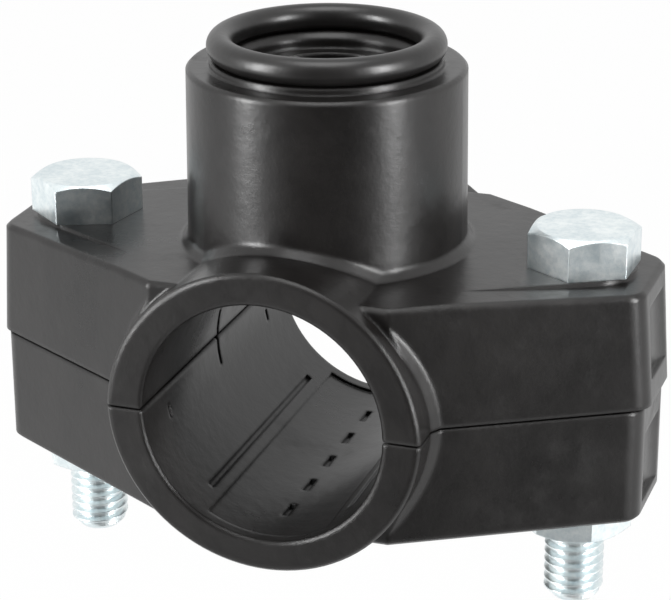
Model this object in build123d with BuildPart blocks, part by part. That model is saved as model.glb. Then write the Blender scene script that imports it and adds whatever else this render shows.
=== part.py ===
from build123d import *

import os
from math import cos, hypot, pi, radians, sin, tan

# Two-bolt tapping saddle for a 32 mm pipe, with a 1/2 inch female outlet.
# +X runs across the two ears, +Y along the pipe and +Z up the outlet.
# The origin is where the pipe axis crosses the outlet axis. Lengths are in millimetres.

os.makedirs("parts", exist_ok=True)

# Pipe bore and the oval collar around it
pipe_radius = 16.0
collar_length = 52.8
collar_side_wall = 4.9
collar_crown_wall = 4.1
collar_edge_break = 0.4
bore_edge_break = 0.3
parting_gap = 0.3
parting_edge_break = 0.25

# Ears: straight flanks that close in towards the bolts
bolt_spacing = 69.2
ear_width_at_bolt = 25.2
ear_flank_angle = 30.5
ear_front_reach = 23.6
ear_corner_round = 3.2
ear_edge_break = 0.5
flank_blend = 1.0
upper_ear_reach = 45.1
upper_ear_top = 16.4
upper_end_draft = 4.0
roof_flat_reach = 22.5
roof_slope = 1.9
lower_ear_reach = 44.3
lower_ear_bottom = 15.6

# Shallow round-bottomed dish in each end face
dish_radius = 14.0
dish_depth = 0.7
dish_height = 9.6
upper_dish_middle = 8.2
lower_dish_middle = -9.0

# Pads under the bolt heads
pad_radius = 6.8
pad_inset = 4.6

# Coring of the ears, open at the parting plane
core_wall = 3.0
core_roof = 3.6
core_boss_radius = 7.4
core_web = 2.6
core_collar_clearance = 1.2

# Outlet neck
outlet_radius = 18.4
outlet_draft = 0.5
outlet_shelf = 39.9
outlet_rim_break = 0.4
outlet_foot_blend = 1.0
face_radius = 15.2
face_height = 0.9
mouth_radius = 11.6
mouth_depth = 2.1
mouth_break = 0.8
thread_minor_radius = 9.32
thread_length = 15.0
port_radius = 7.5

# Sealing ring on the outlet face
ring_radius = 13.75
ring_section = 3.5
ring_section_sides = 12

# Saddle-shaped seal round the port
seal_inner_radius = 10.2
seal_outer_radius = 13.4
seal_thickness = 1.8
seal_side_play = 0.1

# M8 bolts and nuts
bolt_length = 47.0
bolt_thread_diameter = 7.9
bolt_hole_diameter = 9.0
bolt_tip_chamfer = 1.2
hex_across_flats = 13.0
hex_chamfer_angle = 30.0
head_height = 5.3
nut_height = 6.5
nut_thread_play = 0.04
nut_seat_depth = 1.8
nut_seat_play = 0.15
left_hex_turn = 20.4
right_hex_turn = 28.5

# Relief and marks moulded in the pipe seat
relief_width = 16.0
relief_length = 48.6
relief_depth = 0.35
slot_count = 5
slot_pitch = 8.0
slot_length = 3.6
slot_width = 0.8
slot_depth = 0.5
groove_angle = 127.0
groove_length = 38.6
groove_radius = 0.45
slit_height = 8.0
slit_width = 0.6
slit_depth = 0.6
tick_height = 1.6
tick_drop = 3.5
tick_spread = 36.2

# Sizes that follow from the ones above
bolt_x = bolt_spacing / 2
half_gap = parting_gap / 2
half_length = collar_length / 2
collar_half_width = pipe_radius + collar_side_wall
collar_half_height = pipe_radius + collar_crown_wall
collar_radius = (collar_half_width**2 + collar_half_height**2) / (2 * collar_half_height)
collar_centre = collar_half_height - collar_radius
end_setback = (upper_ear_top - half_gap) * tan(radians(upper_end_draft))
roof_drop = (upper_ear_reach - roof_flat_reach) * tan(radians(roof_slope))
neck_setback = (outlet_shelf - pipe_radius) * tan(radians(outlet_draft))
face_top = outlet_shelf + face_height
thread_top = face_top - mouth_depth
thread_floor = thread_top - thread_length
ring_height = face_top + ring_section / 2
hex_corner_radius = hex_across_flats / 2 / cos(pi / 6)
crown_radius = 0.95 * hex_across_flats / 2
shank_radius = bolt_thread_diameter / 2
nut_seat = nut_seat_depth - lower_ear_bottom
upright = (Align.CENTER, Align.CENTER, Align.MIN)
hanging = (Align.CENTER, Align.CENTER, Align.MAX)


def flank_x(y):
    """Distance from the outlet axis at which a flank is y from the bolt line."""
    return bolt_x + (ear_width_at_bolt / 2 - y) / tan(radians(ear_flank_angle))


def flank_y(x, inset=0.0):
    """Distance from the bolt line, at x from the outlet axis, of a flank moved in by inset."""
    square_inset = inset / cos(radians(ear_flank_angle))
    return ear_width_at_bolt / 2 - square_inset - (x - bolt_x) * tan(radians(ear_flank_angle))


def ear_outline(reach):
    """Corners of the eight-sided plan of a pair of ears that end at reach."""
    right = [(reach, flank_y(reach)), (flank_x(ear_front_reach), ear_front_reach)]
    back = right + [(-x, y) for x, y in reversed(right)]
    return back + [(x, -y) for x, y in reversed(back)]


def on_collar_end(edge):
    """True for an edge that lies in an end plane of the collar."""
    return abs(edge.bounding_box().size.Y) < 0.01 and abs(abs((edge @ 0.5).Y) - half_length) < 0.01


def on_collar_rim(edge):
    """True for a curved edge, inner or outer, of an end plane of the collar."""
    return on_collar_end(edge) and edge.geom_type == GeomType.CIRCLE


def on_outer_rim(edge):
    """True for the outer edge of an end plane of the collar."""
    return on_collar_rim(edge) and edge.radius > (pipe_radius + collar_radius) / 2


def on_bore_rim(edge):
    """True for the edge of the pipe bore in an end plane of the collar."""
    return on_collar_rim(edge) and edge.radius < (pipe_radius + collar_radius) / 2


def on_bore_lip(edge):
    """True for an edge of the pipe bore along the parting plane."""
    middle = edge @ 0.5
    return abs(abs(middle.X) - pipe_radius) < 0.01 and abs(abs(middle.Z) - half_gap) < 0.01


# Plan of the cored pockets: the ear between collar and bolt, less its walls and its web
with BuildSketch() as core_plan:
    core_near = collar_half_width + core_collar_clearance
    core_far = bolt_x - 2
    with BuildLine():
        Polyline(
            (core_near, flank_y(core_near, core_wall)),
            (core_far, flank_y(core_far, core_wall)),
            (core_far, -flank_y(core_far, core_wall)),
            (core_near, -flank_y(core_near, core_wall)),
            close=True,
        )
    make_face()
    with Locations((bolt_x, 0)):
        Circle(core_boss_radius, mode=Mode.SUBTRACT)
        Rectangle(bolt_spacing, core_web, mode=Mode.SUBTRACT)
    mirror(about=Plane.YZ)

# Saddle-shaped seal: a ring about the outlet axis, cut to a shell about the pipe axis
with BuildPart() as pipe_seal:
    with BuildSketch():
        Circle(seal_outer_radius)
        Circle(seal_inner_radius, mode=Mode.SUBTRACT)
    extrude(amount=outlet_shelf)
    with BuildSketch(Plane.XZ):
        Circle(pipe_radius + seal_thickness)
        Circle(pipe_radius, mode=Mode.SUBTRACT)
    extrude(amount=half_length, both=True, mode=Mode.INTERSECT)
pipe_seal.part.label = "pipe_seal"
export_step(pipe_seal.part, "parts/pipe_seal.step")

# Groove for the seal, with play at both sides
with BuildPart() as seal_groove:
    with BuildSketch():
        Circle(seal_outer_radius + seal_side_play)
        Circle(seal_inner_radius - seal_side_play, mode=Mode.SUBTRACT)
    extrude(amount=outlet_shelf)
    with BuildSketch(Plane.XZ):
        Circle(pipe_radius + seal_thickness)
    extrude(amount=half_length, both=True, mode=Mode.INTERSECT)

# Upper half: ears, collar and outlet neck in one moulding
with BuildPart() as upper_half:
    # Ears with drafted ends and a roof that falls towards them
    with BuildSketch(Plane.XY.offset(half_gap)):
        with BuildLine():
            Polyline(*ear_outline(upper_ear_reach), close=True)
        make_face()
    extrude(amount=upper_ear_top - half_gap)
    with BuildSketch(Plane.XZ):
        with BuildLine():
            Polyline(
                (0, half_gap),
                (upper_ear_reach, half_gap),
                (upper_ear_reach - end_setback, upper_ear_top - roof_drop),
                (roof_flat_reach, upper_ear_top),
                (0, upper_ear_top),
                close=True,
            )
        make_face()
        mirror(about=Plane.YZ)
    extrude(amount=collar_length, both=True, mode=Mode.INTERSECT)
    corners = edges().filter_by(lambda e: abs((e @ 0.5).X) > bolt_x and e.bounding_box().size.Z > 5)
    fillet(corners, ear_corner_round)
    rim = edges().filter_by(lambda e: (e @ 0.5).Z > upper_ear_top - roof_drop - 0.2)
    creases = edges().filter_by(Axis.Y).filter_by(lambda e: abs((e @ 0.5).X) < roof_flat_reach + 0.1)
    chamfer([e for e in rim if e not in creases], ear_edge_break)
    # Pads under the bolt heads, level with the flat middle of the roof
    with BuildSketch(Plane.XY.offset(upper_ear_top - roof_drop)):
        with BuildLine():
            Polyline(
                (roof_flat_reach, -flank_y(roof_flat_reach, pad_inset)),
                (roof_flat_reach, flank_y(roof_flat_reach, pad_inset)),
            )
        with Locations((bolt_x, 0)):
            Circle(pad_radius)
        make_hull()
        mirror(about=Plane.YZ)
    extrude(amount=roof_drop)
    # Upper part of the collar, blended into the flanks
    with BuildSketch(Plane.XZ):
        with Locations((0, collar_centre)):
            Circle(collar_radius)
        with Locations((0, half_gap)):
            Rectangle(bolt_spacing, bolt_spacing, align=(Align.CENTER, Align.MAX), mode=Mode.SUBTRACT)
    extrude(amount=half_length, both=True)
    hollows = edges().filter_by(lambda e: e.bounding_box().size.Z > 10 and abs((e @ 0.5).X) < bolt_x - 5)
    chamfer(hollows.filter_by(lambda e: abs((e @ 0.5).Y) < half_length - 1), flank_blend)
    # Outlet neck with its raised face
    with BuildSketch(Plane.XZ):
        with BuildLine():
            Polyline(
                (0, pipe_radius),
                (outlet_radius, pipe_radius),
                (outlet_radius - neck_setback, outlet_shelf),
                (face_radius, outlet_shelf),
                (face_radius, face_top),
                (0, face_top),
                close=True,
            )
        make_face()
    revolve(axis=Axis.Z)
    neck_edges = edges().filter_by(lambda e: abs(hypot((e @ 0.5).X, (e @ 0.5).Y) - outlet_radius) < 0.5)
    chamfer(neck_edges.filter_by(lambda e: (e @ 0.5).Z < outlet_shelf - 10), outlet_foot_blend)
    shelf_edges = edges().filter_by(GeomType.CIRCLE).group_by(Axis.Z)[-2]
    chamfer(shelf_edges.sort_by(SortBy.RADIUS)[-1], outlet_rim_break)
    # Outlet mouth, the bore for its thread, and the port into the pipe bore
    with BuildSketch(Plane.XZ):
        with BuildLine():
            Polyline(
                (0, face_top),
                (mouth_radius + mouth_break, face_top),
                (mouth_radius, face_top - mouth_break),
                (mouth_radius, thread_top),
                (thread_minor_radius, thread_top),
                (thread_minor_radius, thread_floor),
                (port_radius, thread_floor),
                (port_radius, 0),
                (0, 0),
                close=True,
            )
        make_face()
    revolve(axis=Axis.Z, mode=Mode.SUBTRACT)
    # Coring of the ears
    with BuildSketch(Plane.XY.offset(half_gap)):
        add(core_plan.sketch)
    extrude(amount=upper_ear_top - half_gap - core_roof, mode=Mode.SUBTRACT)
    # Pipe bore, seal groove and bolt holes
    with BuildSketch(Plane.XZ):
        Circle(pipe_radius)
    extrude(amount=collar_length, both=True, mode=Mode.SUBTRACT)
    add(seal_groove.part, mode=Mode.SUBTRACT)
    with Locations((-bolt_x, 0, upper_ear_top), (bolt_x, 0, upper_ear_top)):
        Hole(bolt_hole_diameter / 2)
    # Broken edges of the collar and of the bore
    chamfer(edges().filter_by(on_outer_rim), collar_edge_break)
    chamfer(edges().filter_by(on_bore_rim), bore_edge_break)
    chamfer(edges().filter_by(Axis.Y).filter_by(on_bore_lip), parting_edge_break)
    # Slits across the parting plane at mid-length
    with Locations((-pipe_radius, 0, 0), (pipe_radius, 0, 0)):
        Box(2 * slit_depth, slit_width, slit_height, mode=Mode.SUBTRACT)
    # Dishes in the drafted ends
    for side in (-1, 1):
        lean = radians(upper_end_draft)
        middle = upper_ear_reach - (upper_dish_middle - half_gap) * tan(lean)
        x = side * (middle + (dish_radius - dish_depth) * cos(lean))
        z = upper_dish_middle + (dish_radius - dish_depth) * sin(lean)
        with Locations(Location((x, 0, z), (0, -side * upper_end_draft, 0))):
            Cylinder(dish_radius, dish_height, mode=Mode.SUBTRACT)
upper_half.part.label = "upper_half"
export_step(upper_half.part, "parts/upper_half.step")

# Lower half: ears and collar in one moulding, with nut seats below
with BuildPart() as lower_half:
    # Ears
    with BuildSketch(Plane.XY.offset(-lower_ear_bottom)):
        with BuildLine():
            Polyline(*ear_outline(lower_ear_reach), close=True)
        make_face()
    extrude(amount=lower_ear_bottom - half_gap)
    corners = edges().filter_by(Axis.Z).filter_by(lambda e: abs((e @ 0.5).X) > bolt_x)
    fillet(corners, ear_corner_round)
    chamfer(edges().group_by(Axis.Z)[0], ear_edge_break)
    # Lower part of the collar, blended into the flanks
    with BuildSketch(Plane.XZ):
        with Locations((0, -collar_centre)):
            Circle(collar_radius)
        with Locations((0, -half_gap)):
            Rectangle(bolt_spacing, bolt_spacing, align=(Align.CENTER, Align.MIN), mode=Mode.SUBTRACT)
    extrude(amount=half_length, both=True)
    hollows = edges().filter_by(lambda e: e.bounding_box().size.Z > 10 and abs((e @ 0.5).X) < bolt_x - 5)
    chamfer(hollows.filter_by(lambda e: abs((e @ 0.5).Y) < half_length - 1), flank_blend)
    # Coring of the ears
    with BuildSketch(Plane.XY.offset(-half_gap)):
        add(core_plan.sketch)
    extrude(amount=core_roof + half_gap - lower_ear_bottom, mode=Mode.SUBTRACT)
    # Pipe bore, and the broken edges of the collar and of the bore
    with BuildSketch(Plane.XZ):
        Circle(pipe_radius)
    extrude(amount=collar_length, both=True, mode=Mode.SUBTRACT)
    chamfer(edges().filter_by(on_outer_rim), collar_edge_break)
    chamfer(edges().filter_by(on_bore_rim), bore_edge_break)
    chamfer(edges().filter_by(Axis.Y).filter_by(on_bore_lip), parting_edge_break)
    # Relief along the bottom of the bore
    with BuildSketch(Plane.XZ):
        Circle(pipe_radius + relief_depth)
        Rectangle(relief_width, 2 * pipe_radius, align=(Align.CENTER, Align.MAX), mode=Mode.INTERSECT)
    extrude(amount=relief_length / 2, both=True, mode=Mode.SUBTRACT)
    # Grooves and slots of the seat
    with BuildSketch(Plane.XZ):
        with PolarLocations(pipe_radius, 2, start_angle=-groove_angle, angular_range=4 * groove_angle - 360):
            Circle(groove_radius)
    extrude(amount=groove_length / 2, both=True, mode=Mode.SUBTRACT)
    with BuildSketch(Plane.XY.offset(-pipe_radius - relief_depth - slot_depth)):
        with GridLocations(0, slot_pitch, 1, slot_count):
            Rectangle(slot_width, slot_length)
    extrude(amount=2 * slot_depth, mode=Mode.SUBTRACT)
    with Locations((-pipe_radius, 0, 0), (pipe_radius, 0, 0)):
        Box(2 * slit_depth, slit_width, slit_height, mode=Mode.SUBTRACT)
    with Locations((0, 0, -tick_drop)):
        with GridLocations(2 * pipe_radius, tick_spread, 2, 2):
            Box(2 * slit_depth, slit_width, tick_height, mode=Mode.SUBTRACT)
    # Dishes in the ends, bolt holes and hexagonal nut seats
    dish_x = lower_ear_reach - dish_depth + dish_radius
    with Locations((-dish_x, 0, lower_dish_middle), (dish_x, 0, lower_dish_middle)):
        Cylinder(dish_radius, dish_height, mode=Mode.SUBTRACT)
    with Locations((-bolt_x, 0, -half_gap), (bolt_x, 0, -half_gap)):
        Hole(bolt_hole_diameter / 2)
    with BuildSketch(Plane.XY.offset(-lower_ear_bottom)):
        with Locations((-bolt_x, 0), (bolt_x, 0)):
            RegularPolygon(hex_corner_radius + nut_seat_play / cos(pi / 6), 6)
    extrude(amount=nut_seat_depth, mode=Mode.SUBTRACT)
lower_half.part.label = "lower_half"
export_step(lower_half.part, "parts/lower_half.step")

# Sealing ring lying on the outlet face, its round section drawn as a polygon that rests on a flat
with BuildPart() as outlet_ring:
    with BuildSketch(Plane.XZ):
        with Locations((ring_radius, ring_height)):
            RegularPolygon(ring_section / 2, ring_section_sides, False, 180 / ring_section_sides - 90)
    revolve(axis=Axis.Z)
outlet_ring.part.label = "outlet_ring"
export_step(outlet_ring.part, "parts/outlet_ring.step")

# Hex-head bolts, their heads chamfered to a round crown
for side, x, turn in (("left", -bolt_x, left_hex_turn), ("right", bolt_x, right_hex_turn)):
    with BuildPart() as bolt:
        with BuildSketch(Plane.XY.offset(upper_ear_top)):
            with Locations((x, 0)):
                RegularPolygon(hex_corner_radius, 6, rotation=turn)
        extrude(amount=head_height)
        crown_foot = crown_radius + head_height / tan(radians(hex_chamfer_angle))
        with Locations((x, 0, upper_ear_top)):
            Cone(crown_foot, crown_radius, head_height, align=upright, mode=Mode.INTERSECT)
            Cylinder(shank_radius, bolt_length, align=hanging)
        chamfer(edges().group_by(Axis.Z)[0], bolt_tip_chamfer)
    bolt.part.label = f"bolt_{side}"
    export_step(bolt.part, f"parts/bolt_{side}.step")

# Hex nuts, chamfered at the open face, with their threads at a running fit on the bolts
for side, x in (("left", -bolt_x), ("right", bolt_x)):
    with BuildPart() as nut:
        with BuildSketch(Plane.XY.offset(nut_seat - nut_height)):
            with Locations((x, 0)):
                RegularPolygon(hex_corner_radius, 6)
        extrude(amount=nut_height)
        crown_foot = crown_radius + nut_height / tan(radians(hex_chamfer_angle))
        with Locations((x, 0, nut_seat - nut_height)):
            Cone(crown_radius, crown_foot, nut_height, align=upright, mode=Mode.INTERSECT)
        with Locations((x, 0, nut_seat)):
            Hole(shank_radius + nut_thread_play)
    nut.part.label = f"nut_{side}"
    export_step(nut.part, f"parts/nut_{side}.step")
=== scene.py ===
from math import cos, hypot, pi, radians, sin, tan, tau

import bmesh
import bpy
from mathutils import Matrix, Vector


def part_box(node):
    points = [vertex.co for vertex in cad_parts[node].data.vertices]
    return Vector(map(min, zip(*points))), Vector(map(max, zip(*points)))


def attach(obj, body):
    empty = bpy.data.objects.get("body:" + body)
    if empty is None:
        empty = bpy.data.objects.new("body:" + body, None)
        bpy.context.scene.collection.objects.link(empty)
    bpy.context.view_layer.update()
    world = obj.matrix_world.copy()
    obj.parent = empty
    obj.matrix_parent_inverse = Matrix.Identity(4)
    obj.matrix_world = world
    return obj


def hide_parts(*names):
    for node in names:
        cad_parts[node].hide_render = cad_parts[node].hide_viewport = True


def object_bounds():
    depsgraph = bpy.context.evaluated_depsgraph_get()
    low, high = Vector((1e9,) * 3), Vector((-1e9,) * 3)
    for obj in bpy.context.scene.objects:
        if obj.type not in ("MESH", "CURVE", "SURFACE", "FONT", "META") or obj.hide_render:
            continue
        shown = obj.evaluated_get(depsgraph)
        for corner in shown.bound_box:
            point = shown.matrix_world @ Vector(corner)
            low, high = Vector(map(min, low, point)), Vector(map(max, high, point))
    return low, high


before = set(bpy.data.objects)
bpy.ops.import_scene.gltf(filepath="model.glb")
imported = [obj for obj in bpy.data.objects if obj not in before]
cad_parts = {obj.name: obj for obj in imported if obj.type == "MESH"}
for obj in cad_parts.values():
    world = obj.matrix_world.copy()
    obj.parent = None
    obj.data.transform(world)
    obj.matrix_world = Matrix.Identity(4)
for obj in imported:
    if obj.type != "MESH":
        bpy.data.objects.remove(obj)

# A two-bolt tapping saddle. +X runs across the ears, +Y along the pipe and +Z up the outlet.
# Lengths are in metres, and the origin is where the pipe axis crosses the outlet axis.

cad_low, cad_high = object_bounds()
MM = 0.001

# Hex bolts and their thread
HEX_APOTHEM = 6.5 * MM
CROWN_RADIUS = 6.175 * MM
CROWN_SIDES = 96
HEAD_HEIGHT = 5.3 * MM
HEAD_CHAMFER = radians(30)
HEX_TURN = {"bolt_left": radians(20.4), "bolt_right": radians(28.5)}
SHANK_IN_HEAD = 0.2 * MM
BOLT_PITCH = 1.25 * MM
BOLT_CREST = 3.95 * MM
BOLT_ROOT = 3.25 * MM
BOLT_TIP_CHAMFER = 1.2 * MM
BOLT_STEPS = 40
SPARE_TURNS = 3

# Sealing ring and outlet thread
RING_RADIUS = 1.75 * MM
RING_SIDES = 32
RING_STEPS = 128
OUTLET_WALL = 9.32 * MM
OUTLET_CREST = 8.86 * MM
OUTLET_FOOT = OUTLET_WALL + 0.1 * MM
OUTLET_PITCH = 1.814 * MM
OUTLET_FLOOR = 23.7 * MM
OUTLET_TOP = 38.7 * MM
OUTLET_LEAD = 0.4
OUTLET_STEPS = 72

# Where a thread's flanks rise and fall, as shares of its pitch
RISE_FROM, RISE_TO = 0.14, 0.43
FALL_FROM, FALL_TO = 0.57, 0.86

# Distances under which points are joined
WELD = 1e-7
TURN_WELD = 1e-6

# The room is dim on its front side, which gives the dark plastic its depth.
# It fades between two cosines of the angle from the front.
# The same fade paints the floor's colour darker towards the front, as painted shade.
FRONT = (0.325, -0.946, 0.0)
FRONT_SHADE = 0.07
FADE_FROM, FADE_TO = 0.38, 0.88
ROOM_DIFFUSE = 0.42
ROOM_GLOSSY = 0.95
WHITE = (1, 1, 1, 1)

FLOOR_DROP = 0.13
FLOOR_SIZE = 6
FLOOR_COLOUR = (0.70, 0.70, 0.70)
FLOOR_GLOSSY = 0.8
FLOOR_GLOW = 0.98

# Lamps: name, plan angle, height, distance, size and power
LAMPS = (
    ("left_box", -137, 0.16, 0.85, (0.16, 0.75), 12.0),
    ("right_box", -17, 0.14, 0.85, (0.12, 0.75), 11.5),
    ("top_box", -80, 0.95, 0.10, (0.55, 0.55), 3.5),
)
LAMP_AIM = Vector((0, 0, 0.01))

# The camera, as it was fitted to the photograph
AZIMUTH = radians(18.967)
ELEVATION = radians(21.074)
ROLL = radians(-0.249)
EYE = (0.101120, -0.291235, 0.126054)
LENS = 132.97
SENSOR = 36
NEAR = 0.01


# ---------------------------------------------------------------- materials

class Wire:
    """A value in a node tree, which can be used in sums."""

    def __init__(self, nodes, socket):
        self.nodes = nodes
        self.socket = socket

    def math(self, operation, first, second):
        return self.nodes.node("Math", {"operation": operation}, {0: first, 1: second})

    def __add__(self, other):
        return self.math("ADD", self, other)

    def __radd__(self, other):
        return self.math("ADD", other, self)

    def __mul__(self, other):
        return self.math("MULTIPLY", self, other)

    def __rmul__(self, other):
        return self.math("MULTIPLY", other, self)


class Nodes:
    """A node tree that is built up node by node."""

    def __init__(self, tree):
        self.tree = tree

    def node(self, kind, settings=None, values=None, output=0):
        """Adds a node and gives one output; an input takes a number or another node's output."""
        made = self.tree.nodes.new("ShaderNode" + kind)
        for key, value in (settings or {}).items():
            setattr(made, key, value)
        for key, value in (values or {}).items():
            if isinstance(value, Wire):
                self.tree.links.new(value.socket, made.inputs[key])
            else:
                made.inputs[key].default_value = value
        return Wire(self, made.outputs[output])

    def join(self, wire, node, socket):
        self.tree.links.new(wire.socket, self.tree.nodes[node].inputs[socket])

    def front_fade(self, way):
        """1 all round, falling smoothly to FRONT_SHADE towards the front."""
        facing = self.node("VectorMath", {"operation": "DOT_PRODUCT"}, {0: way, 1: FRONT}, "Value")
        return self.node("MapRange", {"interpolation_type": "SMOOTHSTEP"}, {
            "Value": facing, "From Min": FADE_FROM, "From Max": FADE_TO,
            "To Min": 1.0, "To Max": FRONT_SHADE,
        })


class Finish(Nodes):
    """A material that starts as one shader with its fixed values."""

    def __init__(self, name, fixed):
        self.material = bpy.data.materials.new(name)
        self.material.use_nodes = True
        super().__init__(self.material.node_tree)
        self.shader = self.tree.nodes["Principled BSDF"]
        for socket, value in fixed.items():
            self.shader.inputs[socket].default_value = value
        self.place = self.node("TexCoord", output="Object")

    def noise(self, scale, detail, roughness=0.5, stretch=None):
        place = self.place
        if stretch:
            place = self.node("Mapping", None, {"Vector": place, "Scale": stretch})
        values = {"Vector": place, "Scale": scale, "Detail": detail, "Roughness": roughness}
        return self.node("TexNoise", None, values)

    def ramp(self, value, low, high, low_colour=(0, 0, 0), high_colour=(1, 1, 1)):
        ramp = self.node("ValToRGB", None, {"Fac": value})
        elements = ramp.socket.node.color_ramp.elements
        for element, position, colour in zip(elements, (low, high), (low_colour, high_colour)):
            element.position = position
            element.color = (*colour, 1)
        return ramp

    def feed(self, **links):
        for socket, value in links.items():
            self.join(value, self.shader.name, socket.replace("_", " "))

    def soft_edges(self, radius):
        return self.node("Bevel", {"samples": 6}, {"Radius": radius})

    def bump(self, height, distance, strength, under=None):
        values = {"Height": height, "Distance": distance, "Strength": strength}
        if under:
            values["Normal"] = under
        return self.node("Bump", None, values)


def moulded_plastic():
    """Black polypropylene: satin, with the cloudy flow, orange peel and scuffs of a moulding."""
    finish = Finish("black_plastic", {"IOR": 1.49})
    flow = finish.noise(scale=48, detail=4, roughness=0.6, stretch=(1.0, 1.0, 0.5))
    clouds = finish.noise(scale=210, detail=4, roughness=0.65)
    peel = finish.noise(scale=560, detail=3, roughness=0.55)
    grain = finish.noise(scale=2400, detail=2)
    scratches = finish.noise(scale=120, detail=6, roughness=0.7)
    scuffs = finish.ramp(scratches, low=0.55, high=0.72)
    tone = 0.55 * flow + 0.30 * clouds + 0.15 * grain
    dark, light = (0.0030, 0.0026, 0.0025), (0.0095, 0.0085, 0.0081)
    edges = finish.soft_edges(radius=0.0008)
    skin = finish.bump(peel, distance=0.00008, strength=0.40, under=edges)
    finish.feed(
        Base_Color=finish.ramp(tone, 0.38, 0.64, dark, light),
        Roughness=0.17 + 0.16 * flow + 0.10 * clouds + 0.12 * scuffs,
        Normal=finish.bump(grain, distance=0.00002, strength=0.35, under=skin),
    )
    return finish.material


def moulded_rubber(name, dark, light, roughness, peel_depth):
    """Dark elastomer with a dull, slightly dusty skin."""
    finish = Finish(name, {"IOR": 1.52})
    dust = finish.noise(scale=130, detail=4, roughness=0.6)
    peel = finish.noise(scale=900, detail=2)
    finish.feed(
        Base_Color=finish.ramp(dust, 0.35, 0.75, dark, light),
        Roughness=roughness + 0.14 * dust,
        Normal=finish.bump(peel, distance=peel_depth, strength=0.4),
    )
    return finish.material


def bright_zinc():
    """Clear-passivated zinc plate: bright, faintly blue, with soft blotches, specks and drag lines."""
    finish = Finish("zinc_steel", {"Metallic": 1.0})
    blotches = finish.noise(scale=260, detail=4, roughness=0.6)
    specks = finish.noise(scale=1150, detail=3, roughness=0.65)
    drag = finish.noise(scale=900, detail=2, stretch=(1.0, 1.0, 0.12))
    tone = 0.5 * blotches + 0.5 * specks
    dull, bright = (0.66, 0.75, 0.78), (0.89, 0.94, 0.94)
    edges = finish.soft_edges(radius=0.00022)
    plate = finish.bump(specks, distance=0.00003, strength=0.45, under=edges)
    finish.feed(
        Base_Color=finish.ramp(tone, 0.36, 0.62, dull, bright),
        Roughness=0.21 + 0.18 * blotches + 0.06 * specks,
        Normal=finish.bump(drag, distance=0.00001, strength=0.30, under=plate),
    )
    return finish.material


plastic = moulded_plastic()
ring_rubber = moulded_rubber(
    "ring_rubber", dark=(0.0045, 0.0042, 0.0041), light=(0.0110, 0.0102, 0.0098),
    roughness=0.27, peel_depth=0.00006,
)
seal_rubber = moulded_rubber(
    "seal_rubber", dark=(0.012, 0.0118, 0.0115), light=(0.021, 0.0204, 0.0198),
    roughness=0.50, peel_depth=0.00005,
)
zinc = bright_zinc()

for node, material in (
    ("upper_half", plastic),
    ("lower_half", plastic),
    ("pipe_seal", seal_rubber),
    ("nut_left", zinc),
    ("nut_right", zinc),
):
    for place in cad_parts[node].material_slots:
        place.material = material


# ------------------------------------------------------------------- pieces

def as_object(form, name, material):
    mesh = bpy.data.meshes.new(name)
    form.to_mesh(mesh)
    form.free()
    mesh.materials.append(material)
    made = bpy.data.objects.new(name, mesh)
    bpy.context.scene.collection.objects.link(made)
    return made


def finished(form, name, material, body, slot, *nodes):
    """Turns a finished form into a piece that rides on its body."""
    bmesh.ops.remove_doubles(form, verts=form.verts, dist=WELD)
    bmesh.ops.recalc_face_normals(form, faces=form.faces)
    piece = as_object(form, name, material)
    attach(piece, body)
    if nodes:
        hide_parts(*nodes)


def shade(form, smooth):
    for face in form.faces:
        face.smooth = smooth


def sealing_ring():
    """A round rubber ring whose middle and outside are the CAD ring's."""
    low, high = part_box("outlet_ring")
    middle = (low.z + high.z) / 2
    form = bmesh.new()
    turn = Matrix.Rotation(pi / 2, 4, "X")
    section = bmesh.ops.create_circle(
        form, cap_ends=False, segments=RING_SIDES, radius=RING_RADIUS, matrix=turn,
    )
    bmesh.ops.translate(form, verts=section["verts"], vec=(high.x - RING_RADIUS, 0, middle))
    bmesh.ops.spin(
        form, geom=form.verts[:] + form.edges[:], cent=(0, 0, 0), axis=(0, 0, 1),
        angle=tau, steps=RING_STEPS, use_merge=True,
    )
    shade(form, True)
    finished(form, "sealing_ring", ring_rubber, "upper", "ring_rubber", "outlet_ring")


def wind(form, outline, pitch, start, turns, steps, closed):
    """Winds a profile up the Z axis; an outline's points are a radius and a share of the pitch."""
    corners = [form.verts.new((radius, 0, start + part * pitch)) for radius, part in outline]
    following = corners[1:] + corners[:1] if closed else corners[1:]
    edges = [form.edges.new(pair) for pair in zip(corners, following)]
    bmesh.ops.spin(
        form, geom=corners + edges, cent=(0, 0, 0), axis=(0, 0, 1),
        dvec=(0, 0, pitch / steps), angle=tau * turns, steps=steps * turns,
    )
    bmesh.ops.remove_doubles(form, verts=form.verts, dist=TURN_WELD)


def cut_off(form, height, keep_above):
    """Cuts a form at a height and closes the cut."""
    geometry = form.verts[:] + form.edges[:] + form.faces[:]
    cut = bmesh.ops.bisect_plane(
        form, geom=geometry, plane_co=(0, 0, height), plane_no=(0, 0, 1),
        clear_inner=keep_above, clear_outer=not keep_above,
    )
    rim = [item for item in cut["geom_cut"] if isinstance(item, bmesh.types.BMEdge)]
    bmesh.ops.contextual_create(form, geom=rim)


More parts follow.
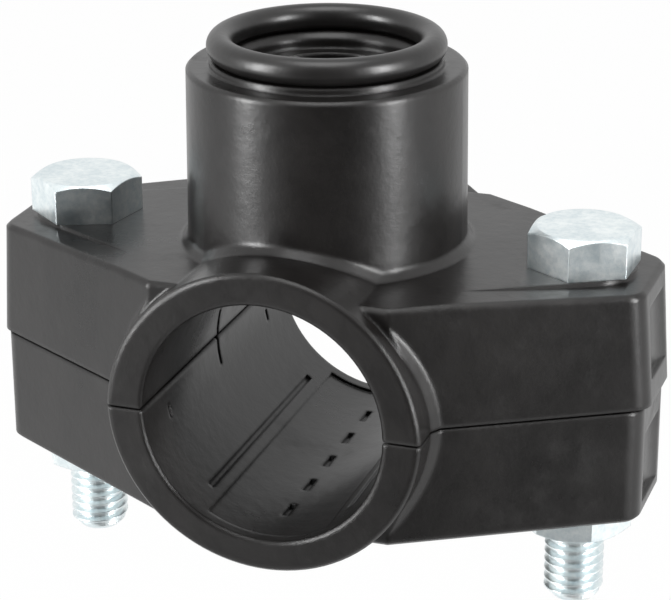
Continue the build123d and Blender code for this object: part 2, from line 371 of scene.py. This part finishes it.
def threaded_shank(tip, top):
    """A threaded rod between two heights, tapered at its tip."""
    form = bmesh.new()
    turns = int((top - tip) / BOLT_PITCH) + SPARE_TURNS
    outline = (
        (BOLT_ROOT, 0.0), (BOLT_ROOT, RISE_FROM), (BOLT_CREST, RISE_TO),
        (BOLT_CREST, FALL_FROM), (BOLT_ROOT, FALL_TO), (BOLT_ROOT, 1.0),
    )
    wind(form, outline, BOLT_PITCH, tip - BOLT_PITCH, turns, BOLT_STEPS, closed=False)
    cut_off(form, tip, keep_above=True)
    cut_off(form, top, keep_above=False)
    for vert in form.verts:
        allowed = BOLT_CREST - max(0.0, BOLT_TIP_CHAMFER - (vert.co.z - tip))
        radius = hypot(vert.co.x, vert.co.y)
        if radius > allowed:
            vert.co.x *= allowed / radius
            vert.co.y *= allowed / radius
    shade(form, False)
    return form


def hex_outline(angle, turn):
    """Distance from the axis to a hexagon's side in a direction."""
    return HEX_APOTHEM / cos((angle - turn) % (pi / 3) - pi / 6)


def hex_head(form, seat, turn):
    """A hexagon head chamfered to a round crown, drawn ring by ring from the crown down."""
    top = seat + HEAD_HEIGHT
    disc = bmesh.ops.create_circle(form, cap_ends=True, segments=CROWN_SIDES, radius=CROWN_RADIUS)
    rims = disc["verts"]
    cap = rims[0].link_faces[0]
    bmesh.ops.rotate(form, verts=rims, cent=(0, 0, 0), matrix=Matrix.Rotation(turn, 3, "Z"))
    bmesh.ops.translate(form, verts=rims, vec=(0, 0, top))
    edges = list(cap.edges)
    for level in ("chamfer", "seat"):
        grown = bmesh.ops.extrude_edge_only(form, edges=edges)["geom"]
        edges = [item for item in grown if isinstance(item, bmesh.types.BMEdge)]
        for vert in (item for item in grown if isinstance(item, bmesh.types.BMVert)):
            angle = Vector(vert.co.xy).angle_signed(Vector((1, 0))) % tau
            reach = hex_outline(angle, turn)
            drop = (reach - CROWN_RADIUS) * tan(HEAD_CHAMFER)
            height = top - drop if level == "chamfer" else seat
            vert.co = Vector((reach * cos(angle), reach * sin(angle), height))
    bmesh.ops.contextual_create(form, geom=edges)


def bolt(name):
    """A threaded bolt where the CAD bolt stands."""
    low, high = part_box(name)
    axis = ((low.x + high.x) / 2, (low.y + high.y) / 2)
    seat = high.z - HEAD_HEIGHT
    form = threaded_shank(low.z, seat + SHANK_IN_HEAD)
    hex_head(form, seat, HEX_TURN[name])
    bmesh.ops.translate(form, verts=form.verts, vec=(*axis, 0))
    finished(form, name + "_threaded", zinc, name, "zinc_steel", name)


def outlet_thread():
    """A closed ridge wound round the outlet's wall, its foot let into the wall."""
    form = bmesh.new()
    outline = (
        (OUTLET_FOOT, RISE_FROM), (OUTLET_CREST, RISE_TO),
        (OUTLET_CREST, FALL_FROM), (OUTLET_FOOT, FALL_TO),
    )
    turns = int((OUTLET_TOP - OUTLET_FLOOR) / OUTLET_PITCH) - 1
    start = OUTLET_FLOOR + OUTLET_LEAD * OUTLET_PITCH
    wind(form, outline, OUTLET_PITCH, start, turns, OUTLET_STEPS, closed=True)
    bmesh.ops.holes_fill(form, edges=form.edges, sides=len(outline))
    shade(form, False)
    finished(form, "outlet_thread", plastic, "upper", "black_plastic")


sealing_ring()
bolt("bolt_left")
bolt("bolt_right")
outlet_thread()


# -------------------------------------------------------------------- stage

def paper(name, colour):
    """Pale paper that shows as white, with only a trace of the shadow left on it. Its colour is
    painted darker towards the front (painted shade), and in reflections it glows, brighter behind (a
    painted reflection).
    """
    sheet = Finish(name, {"Roughness": 0.9, "Specular IOR Level": 0.1})
    camera_ray, glossy_ray, transmission_ray = (
        sheet.node("LightPath", output=kind)
        for kind in ("Is Camera Ray", "Is Glossy Ray", "Is Transmission Ray")
    )
    way = sheet.node("VectorMath", {"operation": "NORMALIZE"}, {0: sheet.place})
    behind = sheet.front_fade(way)
    speck = sheet.noise(scale=30, detail=3)
    # Painted shade: the floor's colour darkens towards the front, standing in for the room's dim front
    # side; the specks are random tone.
    painted_shade_colour = tuple(part * FRONT_SHADE for part in colour)
    sheet.feed(Base_Color=sheet.ramp(behind + 0.02 * speck, FRONT_SHADE, 1.0, painted_shade_colour, colour))
    # Painted reflection: for glossy rays the floor glows white, brighter behind and dim towards the
    # front.
    seen = camera_ray + glossy_ray * (FLOOR_GLOSSY * behind) + transmission_ray
    glow = sheet.node("Emission", None, {"Color": WHITE, "Strength": 1.0})
    lit = Wire(sheet, sheet.shader.outputs[0])
    mixed = sheet.node("MixShader", None, {0: FLOOR_GLOW * seen, 1: lit, 2: glow})
    sheet.join(mixed, "Material Output", "Surface")
    return sheet.material


def floor(height):
    form = bmesh.new()
    bmesh.ops.create_grid(form, x_segments=2, y_segments=2, size=FLOOR_SIZE)
    bmesh.ops.translate(form, verts=form.verts, vec=(0, 0, height))
    piece = as_object(form, "floor", paper("floor_paper", FLOOR_COLOUR))


def soft_box(name, plan_angle, height, distance, size, power):
    """A rectangular lamp at a plan angle, facing the part."""
    angle = radians(plan_angle)
    lamp = bpy.data.lights.new(name, "AREA")
    lamp.shape = "RECTANGLE"
    lamp.size, lamp.size_y = size
    lamp.energy = power
    holder = bpy.data.objects.new(name, lamp)
    holder.location = Vector((distance * cos(angle), distance * sin(angle), height))
    holder.rotation_euler = (LAMP_AIM - holder.location).to_track_quat("-Z", "Y").to_euler()
    bpy.context.scene.collection.objects.link(holder)


def pale_room():
    """White light from all round, dimmer on the front side, and plain white where it is seen."""
    world = bpy.data.worlds.new("pale_room")
    bpy.context.scene.world = world
    world.use_nodes = True
    room = Nodes(world.node_tree)
    camera_ray, glossy_ray, transmission_ray = (
        room.node("LightPath", output=kind)
        for kind in ("Is Camera Ray", "Is Glossy Ray", "Is Transmission Ray")
    )
    behind = room.front_fade(room.node("TexCoord", output="Generated"))
    level = room.node("MapRange", None, {
        "Value": glossy_ray, "To Min": ROOM_DIFFUSE, "To Max": ROOM_GLOSSY})
    seen = room.node("Math", {"operation": "MAXIMUM"}, {0: camera_ray, 1: transmission_ray})
    strength = room.node("Mix", None, {0: seen, 2: behind * level, 3: 1.0})
    room.tree.nodes["Background"].inputs["Color"].default_value = WHITE
    room.join(strength, "Background", "Strength")


floor(cad_low.z - FLOOR_DROP)
pale_room()
for lamp in LAMPS:
    soft_box(*lamp)


# ------------------------------------------------------------------- camera

forward = Vector((-sin(AZIMUTH) * cos(ELEVATION), cos(AZIMUTH) * cos(ELEVATION), -sin(ELEVATION)))
level_right = Vector((cos(AZIMUTH), sin(AZIMUTH), 0))
level_up = level_right.cross(forward)
right = cos(ROLL) * level_right + sin(ROLL) * level_up
up = -sin(ROLL) * level_right + cos(ROLL) * level_up
camera = bpy.data.cameras.new("camera")
camera.lens = LENS
camera.sensor_width = SENSOR
camera.clip_start = NEAR
eye = bpy.data.objects.new("camera", camera)
turned = Matrix((right, up, -forward)).transposed().to_4x4()
eye.matrix_world = Matrix.Translation(EYE) @ turned
bpy.context.scene.collection.objects.link(eye)
bpy.context.scene.camera = eye
bpy.context.scene.view_settings.view_transform = "Standard"
